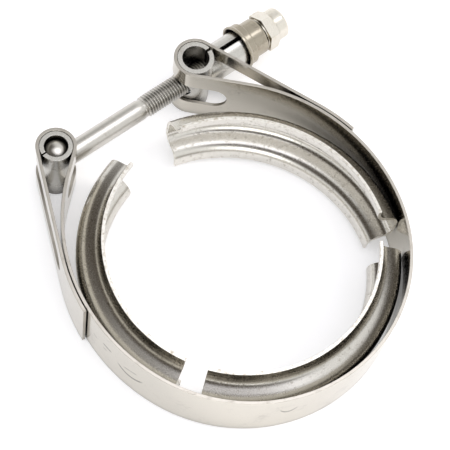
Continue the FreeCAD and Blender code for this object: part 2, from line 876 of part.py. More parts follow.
def between_heels():
    """Return the bottom segment's centre and middle angle: both its ends stand off the band.

    The ends lie at two known reaches from the ring's bottom centre and a known chord apart, so the
    law of cosines gives the angle between them.
    """
    radius = sprung_radius.value
    half_span = SIZES["bottom_segment_span_angle"] / 2
    left_reach = ring_inner_radius.value - SIZES["bottom_segment_left_gap"]
    right_reach = ring_inner_radius.value - SIZES["bottom_segment_right_gap"]
    chord = 2 * radius * math.sin(math.radians(half_span))
    squares = left_reach ** 2 + right_reach ** 2 - chord ** 2
    between = math.degrees(math.acos(squares / (2 * left_reach * right_reach)))
    left_heel = RING_BOTTOM_CENTRE + unit(SIZES["bottom_segment_heel_angle"]) * left_reach
    right_heel = RING_BOTTOM_CENTRE + unit(SIZES["bottom_segment_heel_angle"] + between) * right_reach
    middle = heading(right_heel - left_heel) - QUARTER_TURN
    rise = radius * math.cos(math.radians(half_span))
    return (left_heel + right_heel) / 2 - unit(middle) * rise, middle


def on_right_heel():
    """Return the right segment's centre: it stands on its lower end and springs clear above."""
    reach = ring_inner_radius.value - SIZES["right_segment_heel_gap"]
    heel = RING_BOTTOM_CENTRE + unit(SIZES["right_segment_heel_angle"]) * reach
    heel_angle = SIZES["right_segment_middle_angle"] - SIZES["right_segment_span_angle"] / 2
    return heel - unit(heel_angle) * sprung_radius.value


def against_left_side():
    """Return the left segment's centre: its web touches the ring's left side from inside."""
    room = LEFT.radius - SIZES["band_thickness"] - SIZES["segment_seat_gap"] - close_radius.value
    return LEFT.centre + unit(SIZES["left_segment_touch_angle"]) * room


def make_segments():
    """The three retainer segments inside the ring."""
    bottom_centre, bottom_middle = between_heels()
    left_middle = SIZES["left_segment_middle_angle"]
    right_middle = SIZES["right_segment_middle_angle"]
    lean = SIZES["right_segment_lean_angle"]
    places = {
        "left_segment": (close_radius, against_left_side(), left_middle, 0),
        "bottom_segment": (sprung_radius, bottom_centre, bottom_middle, 0),
        "right_segment": (sprung_radius, on_right_heel(), right_middle, lean),
    }
    segments = []
    for name, (radius, centre, middle, turn) in places.items():
        segments.append(make_segment(name, radius, size(name + "_span_angle"), middle, centre, turn))
    return segments


parts = [make_band(), make_left_barrel(), make_bolt(), make_right_barrel(), make_sleeve()]
parts += [make_cup(), make_nut()]
parts += make_segments()
doc.recompute()

for thing in doc.Objects:
    if "Invalid" in thing.State or "Error" in thing.State:
        raise RuntimeError("failed feature: " + thing.Name)

os.makedirs("parts", exist_ok=True)
for part in parts:
    shape = checked(part.Shape, part.Label)
    shape.exportStep("parts/%s.step" % part.Label)
    print(part.Label, round(shape.Volume, 1))
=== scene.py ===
"""A stainless V-band clamp: its strap, retainer segments, T-bolt and nut, dressed over the frame.

Every size in the dataclasses is in millimetres and every angle in degrees, counted from +X about
+Z.  Meshes and material scales are in metres.
"""

from __future__ import annotations

import logging
import math
from dataclasses import dataclass, field
from enum import Enum

import bpy
import numpy as np
from mathutils import Matrix, Vector
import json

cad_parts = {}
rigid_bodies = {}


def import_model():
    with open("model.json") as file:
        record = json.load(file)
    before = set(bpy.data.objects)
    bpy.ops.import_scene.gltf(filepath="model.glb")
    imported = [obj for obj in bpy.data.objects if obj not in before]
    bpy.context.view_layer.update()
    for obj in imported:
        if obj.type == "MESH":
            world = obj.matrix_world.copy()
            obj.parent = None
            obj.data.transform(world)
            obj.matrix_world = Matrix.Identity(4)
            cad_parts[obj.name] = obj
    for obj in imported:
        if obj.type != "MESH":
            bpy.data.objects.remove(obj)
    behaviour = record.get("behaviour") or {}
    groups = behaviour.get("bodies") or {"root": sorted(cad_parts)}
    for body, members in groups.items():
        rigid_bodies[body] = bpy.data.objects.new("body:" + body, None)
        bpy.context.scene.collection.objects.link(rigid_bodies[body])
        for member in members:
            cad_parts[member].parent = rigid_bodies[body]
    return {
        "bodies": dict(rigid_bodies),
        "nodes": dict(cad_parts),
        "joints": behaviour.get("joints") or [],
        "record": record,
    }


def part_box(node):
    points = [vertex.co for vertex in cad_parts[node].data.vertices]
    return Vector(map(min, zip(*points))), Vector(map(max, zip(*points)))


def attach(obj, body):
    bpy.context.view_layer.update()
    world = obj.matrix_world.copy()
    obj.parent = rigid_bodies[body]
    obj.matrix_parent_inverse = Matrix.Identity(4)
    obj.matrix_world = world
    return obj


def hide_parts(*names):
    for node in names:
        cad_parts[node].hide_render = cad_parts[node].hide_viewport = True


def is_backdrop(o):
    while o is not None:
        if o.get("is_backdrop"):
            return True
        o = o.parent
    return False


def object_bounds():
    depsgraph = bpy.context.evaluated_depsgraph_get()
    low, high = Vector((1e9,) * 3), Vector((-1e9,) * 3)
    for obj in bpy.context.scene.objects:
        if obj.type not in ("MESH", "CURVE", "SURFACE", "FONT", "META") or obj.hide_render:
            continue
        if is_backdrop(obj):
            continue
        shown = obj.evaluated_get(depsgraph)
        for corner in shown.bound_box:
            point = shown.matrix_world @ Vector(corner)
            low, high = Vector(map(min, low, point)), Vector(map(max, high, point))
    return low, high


Tree = bpy.types.NodeTree
Socket = bpy.types.NodeSocket

log = logging.getLogger("v_band_clamp")

MM = 0.001
WELD_DISTANCE = 1e-6

# Points along the surfaces, and the least steps between them in millimetres.
ROUND_STEPS = 49
ARC_STEP = 2.5
LINE_ROWS = 8
ROUND_END_ROWS = 12
BEND_ROWS = 9
SPAN_ROWS = 72
LEAST_STEP = 0.02
LEAST_GAP = 0.05


# ---------------------------------------------------------------------------- colours and nodes


def srgb(hex_code: str) -> tuple[float, float, float, float]:
    """Turn an sRGB hex colour into the linear colour that a shader takes.

    Args:
        hex_code: Six hex digits after a hash sign.

    Returns:
        Linear red, green, blue and an alpha of 1.
    """
    parts = np.array([int(hex_code[i : i + 2], 16) / 255 for i in (1, 3, 5)])
    linear = np.where(parts <= 0.04045, parts / 12.92, ((parts + 0.055) / 1.055) ** 2.4)
    return (*(float(value) for value in linear), 1.0)


def add_node(
    tree: Tree,
    kind: str,
    settings: dict[str, object] | None = None,
    **inputs: object,
) -> bpy.types.Node:
    """Add a shader node with its settings and its links.

    Args:
        tree: The node tree that takes the node.
        kind: The node's type name without the ShaderNode prefix.
        settings: Attributes of the node, such as an operation.
        **inputs: Socket names, with underscores for spaces, or iN for the socket at place N.
            A value that is a socket is linked, and any other is set.

    Returns:
        The new node.
    """
    node = tree.nodes.new("ShaderNode" + kind)
    for name, value in (settings or {}).items():
        setattr(node, name, value)
    for name, value in inputs.items():
        place = int(name[1:]) if name[0] == "i" and name[1:].isdigit() else name.replace("_", " ")
        socket = node.inputs[place]
        if isinstance(value, Socket):
            tree.links.new(value, socket)
        else:
            socket.default_value = value
    return node


def ramp(tree: Tree, factor: Socket, low: float, high: float) -> Socket:
    """Map a value from low..high to 0..1, smoothly and clamped."""
    settings = {"interpolation_type": "SMOOTHSTEP"}
    node = add_node(tree, "MapRange", settings, i0=factor, i1=low, i2=high)
    return node.outputs[0]


def mix(tree: Tree, factor: Socket | float, first: object, second: object) -> Socket:
    """Mix two colours by a factor and return the colour socket."""
    node = add_node(tree, "Mix", {"data_type": "RGBA"}, i0=factor, i6=first, i7=second)
    return node.outputs[2]


def maths(tree: Tree, operation: str, *values: object, clamp: bool = False) -> Socket:
    """Apply one arithmetic step to sockets or numbers and return its socket."""
    places = {"i%d" % place: value for place, value in enumerate(values)}
    settings = {"operation": operation, "use_clamp": clamp}
    return add_node(tree, "Math", settings, **places).outputs[0]


# ---------------------------------------------------------------------------- finishes


class Grain(Enum):
    """How the fine lines of a metal surface run."""

    ALONG_STRIP = "along the strip, by the piece's own UV"
    ROUND_X = "round the X axis, as a turned bar"
    NONE = "no direction"


GRAIN_STRETCH = {
    Grain.ALONG_STRIP: (60.0, 4000.0, 1.0),
    Grain.ROUND_X: (4200.0, 160.0, 160.0),
    Grain.NONE: (900.0, 900.0, 900.0),
}
"""Lines of noise in a metre along each axis of the strip or of the object."""


@dataclass(frozen=True)
class Mark:
    """A thin curved mark on the strap, such as a scratch or the rim of a spot weld.

    Attributes:
        along: Where its middle lies along the strip, in millimetres.
        height: Height of its middle above the strip's middle line.
        half_length: Half of its length.
        bow: How far its ends rise above its middle.
        half_width: Half of the line's width.
        strength: How dark it is, 0 to 1.
        slope: How much it rises for each millimetre along.
    """

    along: float
    height: float
    half_length: float
    bow: float
    half_width: float
    strength: float
    slope: float = 0.0

    def mask(self, tree: Tree, along: Socket, height: Socket) -> Socket:
        """Return the mark's strength at a place on the strip.

        With x the way along from the middle and y the height over it, the line is
        y = slope x + bow (x / half_length)^2, and the mask falls off on both sides of it.

        Args:
            tree: The material's node tree.
            along: Millimetres along the strip.
            height: Millimetres above the strip's middle line.

        Returns:
            The mask's socket.
        """
        x = maths(tree, "SUBTRACT", along, self.along)
        y = maths(tree, "SUBTRACT", height, self.height)
        square = maths(tree, "MULTIPLY", x, x)
        curve = maths(tree, "MULTIPLY", square, self.bow / self.half_length**2)
        curve = maths(tree, "MULTIPLY_ADD", x, self.slope, curve)
        off = maths(tree, "ABSOLUTE", maths(tree, "SUBTRACT", y, curve))
        side = ramp(tree, off, self.half_width * 1.6, self.half_width * 0.3)
        ends = ramp(tree, maths(tree, "ABSOLUTE", x), self.half_length, self.half_length * 0.7)
        return maths(tree, "MULTIPLY", maths(tree, "MULTIPLY", side, ends), self.strength)


@dataclass(frozen=True)
class SteelFinish:
    """A stainless surface: its colour, stains, grain and how sharply it mirrors.

    Attributes:
        name: The material's name.
        clean: Colour of the clean metal.
        stain: Colour of the heat and handling stains.
        stain_share: How much of the surface the stains reach, 0 to 1.
        stain_size: Size of the stain patches in millimetres.
        smooth: Roughness of the brightest places.
        dull: Roughness of the dullest places.
        grain: Direction of the fine lines.
        grain_depth: Height of the fine lines in millimetres.
        edge: Radius of the softened edges in millimetres, 0 for a piece with real rounds.
        marks: Marks on the strip.
        recess_shade: Colour of the painted shade in gaps and bores.
        recess_shade_reach: How near, in millimetres, walls have to be for the painted shade to
            gather.
        recess_shade_open: How open a place has to be to stay unshaded, 0 to 1.
        mark_tone: Colour of the marks.
        lip_shade: How dark the painted shade is in the bends beside a segment's lips, 0 to 1.
        lip_shade_tone: Colour of the painted shade.
        lip_shade_reach: Where the painted shade is full and where it ends, in millimetres from the
            lip's edge.
        section_length: Length of a segment's section along its sheet, in millimetres.
    """

    name: str
    clean: str
    stain: str
    stain_share: float
    stain_size: float
    smooth: float
    dull: float
    grain: Grain = Grain.NONE
    grain_depth: float = 0.002
    edge: float = 0.0
    marks: tuple[Mark, ...] = ()
    recess_shade: str = "#2a231a"
    recess_shade_reach: float = 6.0
    recess_shade_open: float = 0.75
    mark_tone: str = "#4a3c2a"
    lip_shade: float = 0.0
    lip_shade_tone: str = "#2f2414"
    lip_shade_reach: tuple[float, float] = (3.2, 6.4)
    section_length: float = 34.0

    def build(self) -> bpy.types.Material:
        """Build the material and return it."""
        material = bpy.data.materials.new(self.name)
        material.use_nodes = True
        tree = material.node_tree
        tree.nodes.clear()
        place = add_node(tree, "TexCoord").outputs["Object"]
        stain = self.stains(tree, place)
        lines = self.lines(tree, place)
        colour = mix(tree, stain, srgb(self.clean), srgb(self.stain))
        if self.marks:
            colour = mix(tree, self.marked(tree), colour, srgb(self.mark_tone))
        # Painted shade in the bends beside a segment's lips, on the outer face only.
        if self.lip_shade:
            colour = mix(tree, self.lip_shaded(tree, place), colour, srgb(self.lip_shade_tone))
        # Painted shade: darker where the AO node finds walls near, in gaps, bores and thread
        # grooves.
        recess_shade = add_node(tree, "AmbientOcclusion", {"samples": 6}, Distance=self.recess_shade_reach * MM)
        unshaded_share = ramp(tree, recess_shade.outputs["AO"], 0.10, self.recess_shade_open)
        colour = mix(tree, unshaded_share, srgb(self.recess_shade), colour)
        dullness = maths(tree, "ADD", maths(tree, "MULTIPLY", lines, 0.5), stain)
        spread = self.dull - self.smooth
        roughness = maths(tree, "MULTIPLY_ADD", dullness, spread, self.smooth, clamp=True)
        bump = add_node(
            tree, "Bump", Strength=0.5, Distance=self.grain_depth * MM, Height=lines
        )
        if self.edge:
            soft = add_node(tree, "Bevel", {"samples": 4}, Radius=self.edge * MM)
            tree.links.new(soft.outputs["Normal"], bump.inputs["Normal"])
        shader = add_node(
            tree,
            "BsdfPrincipled",
            Base_Color=colour,
            Metallic=1.0,
            Roughness=roughness,
            Normal=bump.outputs["Normal"],
        )
        output = add_node(tree, "OutputMaterial")
        tree.links.new(shader.outputs["BSDF"], output.inputs["Surface"])
        return material

    def marked(self, tree: Tree) -> Socket:
        """Return a 0..1 mask of all the marks on the strip, broken up by fine noise."""
        strip = add_node(tree, "UVMap", {"uv_map": "strip"}).outputs[0]
        parts = add_node(tree, "SeparateXYZ", Vector=strip)
        along, height = (maths(tree, "DIVIDE", parts.outputs[axis], MM) for axis in (0, 1))
        masks = [mark.mask(tree, along, height) for mark in self.marks]
        total = masks[0]
        for mask in masks[1:]:
            total = maths(tree, "MAXIMUM", total, mask)
        grit = add_node(tree, "TexNoise", Vector=strip, Scale=1800.0, Detail=2.0)
        return maths(tree, "MULTIPLY", total, ramp(tree, grit.outputs[0], 0.2, 0.55))

    def lip_shaded(self, tree: Tree, place: Socket) -> Socket:
        """Return a 0..1 mask of the painted shade on a segment's outer face beside its lips.

        The painted shade is full from the lip's edge to the middle of the bend and gone on the
        flank.
        The outer face is where the normal points away from the ring's axis.

        Args:
            tree: The material's node tree.
            place: Object coordinates.

        Returns:
            The mask's socket.
        """
        strip = add_node(tree, "UVMap", {"uv_map": "strip"}).outputs[0]
        across = add_node(tree, "SeparateXYZ", Vector=strip).outputs[1]
        half = self.section_length / 2
        from_middle = maths(tree, "ABSOLUTE", maths(tree, "SUBTRACT", across, half * MM))
        full, gone = self.lip_shade_reach
        beside = ramp(tree, from_middle, (half - gone) * MM, (half - full) * MM)
        times = {"operation": "MULTIPLY"}
        level = add_node(tree, "VectorMath", times, i0=place, i1=(1.0, 1.0, 0.0)).outputs[0]
        way = add_node(tree, "VectorMath", {"operation": "NORMALIZE"}, i0=level).outputs[0]
        normal = add_node(tree, "NewGeometry").outputs["Normal"]
        facing = add_node(tree, "VectorMath", {"operation": "DOT_PRODUCT"}, i0=way, i1=normal)
        outer = ramp(tree, facing.outputs["Value"], 0.0, 0.25)
        cloud = add_node(tree, "TexNoise", Vector=place, Scale=70.0, Detail=4.0).outputs[0]
        uneven = maths(tree, "MULTIPLY", ramp(tree, cloud, 0.2, 0.6), self.lip_shade)
        return maths(tree, "MULTIPLY", maths(tree, "MULTIPLY", beside, outer), uneven)

    def stains(self, tree: Tree, place: Socket) -> Socket:
        """Return a 0..1 mask of cloudy stains broken up by finer specks.

        Args:
            tree: The material's node tree.
            place: Object coordinates.

        Returns:
            The mask's socket.
        """
        scale = 1 / (self.stain_size * MM)
        cloud = add_node(tree, "TexNoise", Vector=place, Scale=scale, Detail=5.0, Roughness=0.62)
        speck = add_node(tree, "TexNoise", Vector=place, Scale=scale * 9, Detail=3.0)
        both = maths(tree, "MULTIPLY_ADD", speck.outputs[0], 0.35, cloud.outputs[0])
        threshold = 1.0 - 0.55 * self.stain_share
        return ramp(tree, both, threshold - 0.28, threshold + 0.12)

    def lines(self, tree: Tree, place: Socket) -> Socket:
        """Return a 0..1 value of fine lines that run the way the grain says.

        Args:
            tree: The material's node tree.
            place: Object coordinates.

        Returns:
            The value's socket.
        """
        stretch = GRAIN_STRETCH[self.grain]
        if self.grain is Grain.ALONG_STRIP:
            place = add_node(tree, "UVMap", {"uv_map": "strip"}).outputs[0]
        scaled = add_node(tree, "VectorMath", {"operation": "MULTIPLY"}, i0=place, i1=stretch)
        noise = add_node(tree, "TexNoise", Vector=scaled.outputs[0], Scale=1.0, Detail=3.0)
        return noise.outputs[0]


STRAP_MARKS = (
    # along, height, half length, bow, half width, strength and slope
    Mark(145.7, 1.25, 1.2, 0.0, 0.35, 0.50),
    Mark(151.7, 3.5, 2.2, 0.0, 0.42, 0.90),
    Mark(150.8, 0.4, 0.9, 0.0, 0.35, 0.50, 0.3),
    Mark(162.0, -2.5, 5.6, 3.2, 0.50, 1.00),
    Mark(162.0, 2.4, 2.9, 0.0, 0.35, 0.60, 0.35),
    Mark(215.4, 0.9, 3.2, 3.4, 0.50, 0.85),
)


@dataclass(frozen=True)
class SteelShop:
    """All the finishes of the clamp's pieces, one of each."""

    strap: SteelFinish = SteelFinish(
        "strap_steel",
        "#d6d1c6",
        "#b5afa5",
        0.03,
        9.0,
        0.10,
        0.20,
        Grain.ALONG_STRIP,
        marks=STRAP_MARKS,
    )
    strap_edge: SteelFinish = SteelFinish(
        "strap_edge_steel", "#bcb7ae", "#8f887c", 0.08, 3.0, 0.26, 0.40, recess_shade_reach=0.8
    )
    segment_edge: SteelFinish = SteelFinish(
        "segment_edge_steel", "#f3f0e9", "#a89b82", 0.22, 1.2, 0.34, 0.46, recess_shade_reach=1.0
    )
    segment: SteelFinish = SteelFinish(
        "segment_steel",
        "#dedbd4",
        "#978f80",
        0.08,
        1.6,
        0.22,
        0.36,
        Grain.ALONG_STRIP,
        recess_shade_reach=2.0,
        lip_shade=0.85,
    )
    bolt: SteelFinish = SteelFinish(
        "bolt_steel",
        "#d2cfc8",
        "#9b9284",
        0.02,
        4.0,
        0.28,
        0.38,
        Grain.ROUND_X,
        recess_shade="#17110a",
        recess_shade_reach=2.0,
        recess_shade_open=1.0,
    )
    barrel: SteelFinish = SteelFinish(
        "barrel_steel", "#d0cec8", "#9b9284", 0.04, 4.0, 0.24, 0.34, edge=0.25, recess_shade_reach=7.0
    )
    cup: SteelFinish = SteelFinish(
        "cup_steel", "#b0a898", "#8d8272", 0.10, 4.0, 0.16, 0.26, Grain.ROUND_X, edge=0.15
    )
    nut: SteelFinish = SteelFinish(
        "nut_steel",
        "#e9e4d9",
        "#c5b99f",
        0.08,
        3.0,
        0.22,
        0.32,
        edge=0.10,
        recess_shade="#6b5a30",
        recess_shade_reach=3.0,
        recess_shade_open=0.95,
    )


# ---------------------------------------------------------------------------- meshes


def mesh_object(
    name: str,
    points: np.ndarray,
    faces: np.ndarray,
    uv: np.ndarray | None = None,
    weld: bool = True,
) -> bpy.types.Object:
    """Make an object at the origin from arrays of points and four-sided faces.

    Args:
        name: The object's name.
        points: Points in metres, one row each.
        faces: Point numbers of each face.
        uv: Strip coordinates in metres for each point, or None.
        weld: Whether points that lie together become one.

    Returns:
        The new object, smooth shaded and linked to the scene.
    """
    mesh = bpy.data.meshes.new(name)
    mesh.from_pydata(points.tolist(), [], faces.tolist())
    if uv is not None:
        corners = np.zeros(len(mesh.loops), dtype=np.int32)
        mesh.loops.foreach_get("vertex_index", corners)
        layer = mesh.uv_layers.new(name="strip")
        layer.data.foreach_set("uv", uv[corners].astype(np.float32).ravel())
    made = bpy.data.objects.new(name, mesh)
    bpy.context.scene.collection.objects.link(made)
    if weld:
        merge = made.modifiers.new("weld", "WELD")
        merge.merge_threshold = WELD_DISTANCE
    mesh.polygons.foreach_set("use_smooth", np.ones(len(mesh.polygons), dtype=bool))
    mesh.update()
    return made


def grid_faces(rows: int, columns: int, start: int = 0, flip: bool = False) -> np.ndarray:
    """Number the faces of a grid of points laid out row by row.

    Args:
        rows: Number of rows of points.
        columns: Number of points in a row.
        start: Number of the first point.
        flip: Whether the faces turn the other way.

    Returns:
        One row of four point numbers for each face.
    """
    first = start + (np.arange(rows - 1)[:, None] * columns + np.arange(columns - 1)).ravel()
    faces = np.stack([first, first + 1, first + columns + 1, first + columns], axis=1)
    return faces[:, ::-1] if flip else faces


def turned(radii: np.ndarray, heights: np.ndarray) -> np.ndarray:
    """Turn an outline once round: a point is (h, r cos a, r sin a).

    Args:
        radii: Distance of each outline point from the axis.
        heights: Place of each outline point along the axis.

    Returns:
        One row for each point, ring by ring.
    """
    turns = np.linspace(0, 2 * math.pi, ROUND_STEPS)
    level = np.broadcast_to(heights[:, None], (len(heights), ROUND_STEPS))
    across = [radii[:, None] * np.cos(turns), radii[:, None] * np.sin(turns)]
    return np.stack([level, *across], axis=2).reshape(-1, 3)


def thicken(made: bpy.types.Object, sheet: float, edge: float) -> None:
    """Give a surface its sheet thickness, half to each side, and round its cut edges.

    The cut edges take the object's second material.

    Args:
        made: The object to thicken.
        sheet: The sheet's thickness in millimetres.
        edge: The radius of the edge rounding in millimetres.
    """
    solid = made.modifiers.new("sheet", "SOLIDIFY")
    solid.thickness = sheet * MM
    solid.offset = 0.0
    solid.use_even_offset = True
    solid.material_offset_rim = 1
    bevel = made.modifiers.new("cut_edges", "BEVEL")
    bevel.width = edge * MM
    bevel.segments = 3
    bevel.limit_method = "ANGLE"
    bevel.angle_limit = math.radians(50)
    bevel.harden_normals = True


def settle(made: bpy.types.Object, node: str) -> None:
    """Move an object's points so that its middle lies where the frame's node has its own.

    Args:
        made: The object, whose modifiers count.
        node: The node of the frame that it stands for.
    """
    graph = bpy.context.evaluated_depsgraph_get()
    graph.update()
    corners = np.array([list(corner) for corner in made.evaluated_get(graph).bound_box])
    own = (corners.min(axis=0) + corners.max(axis=0)) / 2
    low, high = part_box(node)
    shift = (np.array(low) + np.array(high)) / 2 - own
    made.data.transform(Matrix.Translation(Vector(shift.tolist())))
    made.data.update()
    log.info("%s: moved %.3f mm to its node", made.name, float(np.linalg.norm(shift)) / MM)


def unit(angle: float) -> np.ndarray:
    """Return the unit vector in the plan at an angle in degrees."""
    return np.array([math.cos(math.radians(angle)), math.sin(math.radians(angle))])


# ---------------------------------------------------------------------------- strap


@dataclass(frozen=True)
class Stretch:
    """An arc of the strap's middle line, or a straight stretch where the radius is 0.

    Attributes:
        start: Arc centre, or the straight stretch's first point.
        end: The straight stretch's last point; unused by an arc.
        radius: Arc radius.
        angle: Arc start angle.
        sweep: Arc sweep, positive anticlockwise.
    """

    start: np.ndarray
    end: np.ndarray
    radius: float = 0.0
    angle: float = 0.0
    sweep: float = 0.0

    @property
    def length(self) -> float:
        """Length of the stretch in millimetres."""
        if self.radius:
            return self.radius * math.radians(abs(self.sweep))
        return float(np.linalg.norm(self.end - self.start))

    def points(self, share: np.ndarray) -> np.ndarray:
        """Return plan points at shares of the stretch's length.

        An arc is centre + radius * (cos a, sin a) with a = angle + sweep * share, and a line is
        start + (end - start) * share.

        Args:
            share: Values from 0 to 1.

        Returns:
            One plan point for each share.
        """
        if not self.radius:
            return self.start + (self.end - self.start) * share[:, None]
        turn = np.radians(self.angle + self.sweep * share)
        return self.start + self.radius * np.stack([np.cos(turn), np.sin(turn)], axis=1)


@dataclass(frozen=True)
class Loop:
    """One end of the strap: outer leg, loop round the barrel, inner leg and side of the ring.

    Attributes:
        barrel: Plan centre of the barrel.
        barrel_radius: Radius of the barrel.
        flattening: How much flatter the ring's side is than its bottom, as a radius difference.
        side_angle: Where the side arc meets the bottom arc.
        leg_end: Where the outer leg ends on the ring.
        hand: 1 for the left side and -1 for the right one.
        slot: Half heights and reaches of the slot: half height, down the inner leg, down the
            outer leg.
        wide: Half height of the wider part of the slot on the outer leg, or 0.
        wide_turn: How far the wider part reaches round the loop.
    """

    barrel: np.ndarray
    barrel_radius: float
    flattening: float
    side_angle: float
    leg_end: float
    hand: int
    slot: tuple[float, float, float]
    wide: float = 0.0
    wide_turn: float = 67.0


@dataclass
class Strap:
    """The band: a strip bent into the ring and folded back round both barrels.

    Attributes:
        width: Width of the strip.
        sheet: Thickness of the strip.
        ring_radius: Outer radius of the ring's bottom.
        ring_drop: How far the bottom's centre lies below the origin.
        leg_gap: Gap between an outer leg and the ring.
        loop_clearance: Clearance of a loop round its barrel.
        edge: Radius of the cut edges.
        half_spacing: Half of the distance between the barrels.
        bolt_line: Height of the barrels' axes in the plan.
        left: The left end.
        right: The right end.
    """

    width: float = 25.4
    sheet: float = 1.1
    ring_radius: float = 55.35
    ring_drop: float = 3.85
    leg_gap: float = 0.35
    loop_clearance: float = 0.15
    edge: float = 0.22
    half_spacing: float = 29.45
    bolt_line: float = 60.15
    left: Loop = field(init=False)
    right: Loop = field(init=False)

    def __post_init__(self) -> None:
        """Set up both ends."""
        left = np.array([-self.half_spacing, self.bolt_line])
        right = np.array([self.half_spacing, self.bolt_line])
        self.left = Loop(left, 5.6, 10.05, 201.0, 173.5, 1, (5.1, 6.0, 33.0))
        self.right = Loop(right, 6.35, 6.65, 339.0, 8.0, -1, (5.1, 7.8, 33.0), 6.7)

    def side(self, end: Loop) -> list[Stretch]:
        """Return one side's stretches, from its free end to the bottom arc.

        The inner leg is the tangent that crosses between the barrel and the ring, so its normal
        leans acos((ring + loop) / distance) from the line of centres; the outer leg is the
        outside tangent, with acos((ring - loop) / distance).

        Args:
            end: The strap end.

        Returns:
            Outer leg on the ring, straight leg, loop, inner leg and ring side.
        """
        half = self.sheet / 2
        centre = np.array([0.0, -self.ring_drop]) - unit(end.side_angle) * end.flattening
        radius = self.ring_radius + end.flattening
        leg = radius + self.leg_gap
        loop = end.barrel_radius + self.loop_clearance
        away = end.barrel - centre
        distance = float(np.linalg.norm(away))
        lean = math.degrees(math.atan2(away[1], away[0]))
        inner = lean + end.hand * math.degrees(math.acos((radius + loop) / distance))
        outer = lean + end.hand * math.degrees(math.acos((leg - loop) / distance))
        last = inner - end.hand * 180
        first = end.side_angle if end.hand > 0 else end.side_angle - 360
        here = np.zeros(2)
        return [
            Stretch(centre, here, leg + half, end.leg_end, outer - end.leg_end),
            Stretch(centre + unit(outer) * (leg + half), end.barrel + unit(outer) * (loop + half)),
            Stretch(end.barrel, here, loop + half, outer, last - outer),
            Stretch(
                end.barrel - unit(inner) * (loop + half),
                centre + unit(inner) * (radius - half),
            ),
            Stretch(centre, here, radius - half, inner, first - inner),
        ]

    def samples(self, end: Loop | None) -> tuple[np.ndarray, np.ndarray, np.ndarray]:
        """Sample one side, or the bottom arc, along its length.

        The slot's half height is its own half height between its two ends and follows
        sqrt(h^2 - d^2) beyond them, where d is the distance past an end; rows are placed at
        d = h sin(q) so that they lie on the round.

        Args:
            end: The strap end, or None for the bottom arc.

        Returns:
            Plan points, distances along the strip and slot half heights.
        """
        if end is None:
            radius = self.ring_radius - self.sheet / 2
            sweep = self.right.side_angle - self.left.side_angle
            centre = np.array([0.0, -self.ring_drop])
            stretches = [Stretch(centre, np.zeros(2), radius, self.left.side_angle, sweep)]
        else:
            stretches = self.side(end)
        lengths = np.array([stretch.length for stretch in stretches])
        starts = np.concatenate([[0.0], np.cumsum(lengths)])
        counts = [
            max(2, math.ceil(abs(stretch.sweep) / ARC_STEP) + 1) if stretch.radius else LINE_ROWS
            for stretch in stretches
        ]
        places = [
            np.linspace(start, start + length, count)
            for start, length, count in zip(starts, lengths, counts)
        ]
        openings: list[tuple[float, float, float]] = []
        if end is not None:
            half, inner_reach, outer_reach = end.slot
            low = starts[2] - outer_reach
            openings.append((low, starts[3] + inner_reach, half))
            if end.wide:
                turned = stretches[2].radius * math.radians(end.wide_turn)
                openings.append((low, starts[2] + turned, end.wide))
        quarter = np.sin(np.linspace(0, math.pi / 2, ROUND_END_ROWS))
        for low, high, half in openings:
            places += [low - half * quarter, high + half * quarter]
        along = np.unique(np.round(np.concatenate(places), 4))
        along = along[np.concatenate([[True], np.diff(along) > LEAST_STEP])]
        along[-1] = starts[-1]
        number = np.clip(np.searchsorted(starts, along, side="right") - 1, 0, len(lengths) - 1)
        plan = np.zeros((len(along), 2))
        for place, stretch in enumerate(stretches):
            chosen = number == place
            plan[chosen] = stretch.points((along[chosen] - starts[place]) / lengths[place])
        gap = np.zeros(len(along))
        for low, high, half in openings:
            past = np.maximum(np.maximum(low - along, along - high), 0.0)
            gap = np.maximum(gap, np.sqrt(np.maximum(half**2 - past**2, 0.0)))
        gap[gap < LEAST_GAP] = 0.0
        return plan, along, gap

    def build(self) -> bpy.types.Object:
        """Build the whole strip as upper and lower halves that meet where there is no slot.

        A point is (plan(s), w) with w running from the slot's half height at s to half the
        width; the lower half mirrors the upper one in w.

        Returns:
            The strap's object.
        """
        columns = 7
        share = np.linspace(0, 1, columns)
        points, faces, uv = [], [], []
        count = 0
        offset = 0.0
        for end, back in ((self.left, False), (None, False), (self.right, True)):
            plan, along, gap = self.samples(end)
            if back:
                plan, gap = plan[::-1], gap[::-1]
                along = along[-1] - along[::-1]
            for sign in (1.0, -1.0):
                height = sign * (gap[:, None] + (self.width / 2 - gap[:, None]) * share)
                block = np.zeros((len(plan), columns, 3))
                block[:, :, :2] = plan[:, None, :]
                block[:, :, 2] = height
                points.append(block.reshape(-1, 3))
                run = np.broadcast_to((along + offset)[:, None], height.shape)
                uv.append(np.stack([run, height], axis=2).reshape(-1, 2))
                faces.append(grid_faces(len(plan), columns, count, flip=sign < 0))
                count += len(plan) * columns
            offset += along[-1]
        strap = mesh_object(
            "band_strip",
            np.concatenate(points) * MM,
            np.concatenate(faces),
            np.concatenate(uv) * MM,
        )
        thicken(strap, self.sheet, self.edge)
        log.info("strap: %d points", count)
        return strap

    def dress(
        self, strap: bpy.types.Object, finish: bpy.types.Material, cut: bpy.types.Material
    ) -> None:
        """Give the strap and its cut edges their finishes and let it stand for the band."""
        strap.data.materials.append(finish)
        strap.data.materials.append(cut)
        settle(strap, "band")
        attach(strap, "band")
        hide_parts("band")


# ---------------------------------------------------------------------------- segments


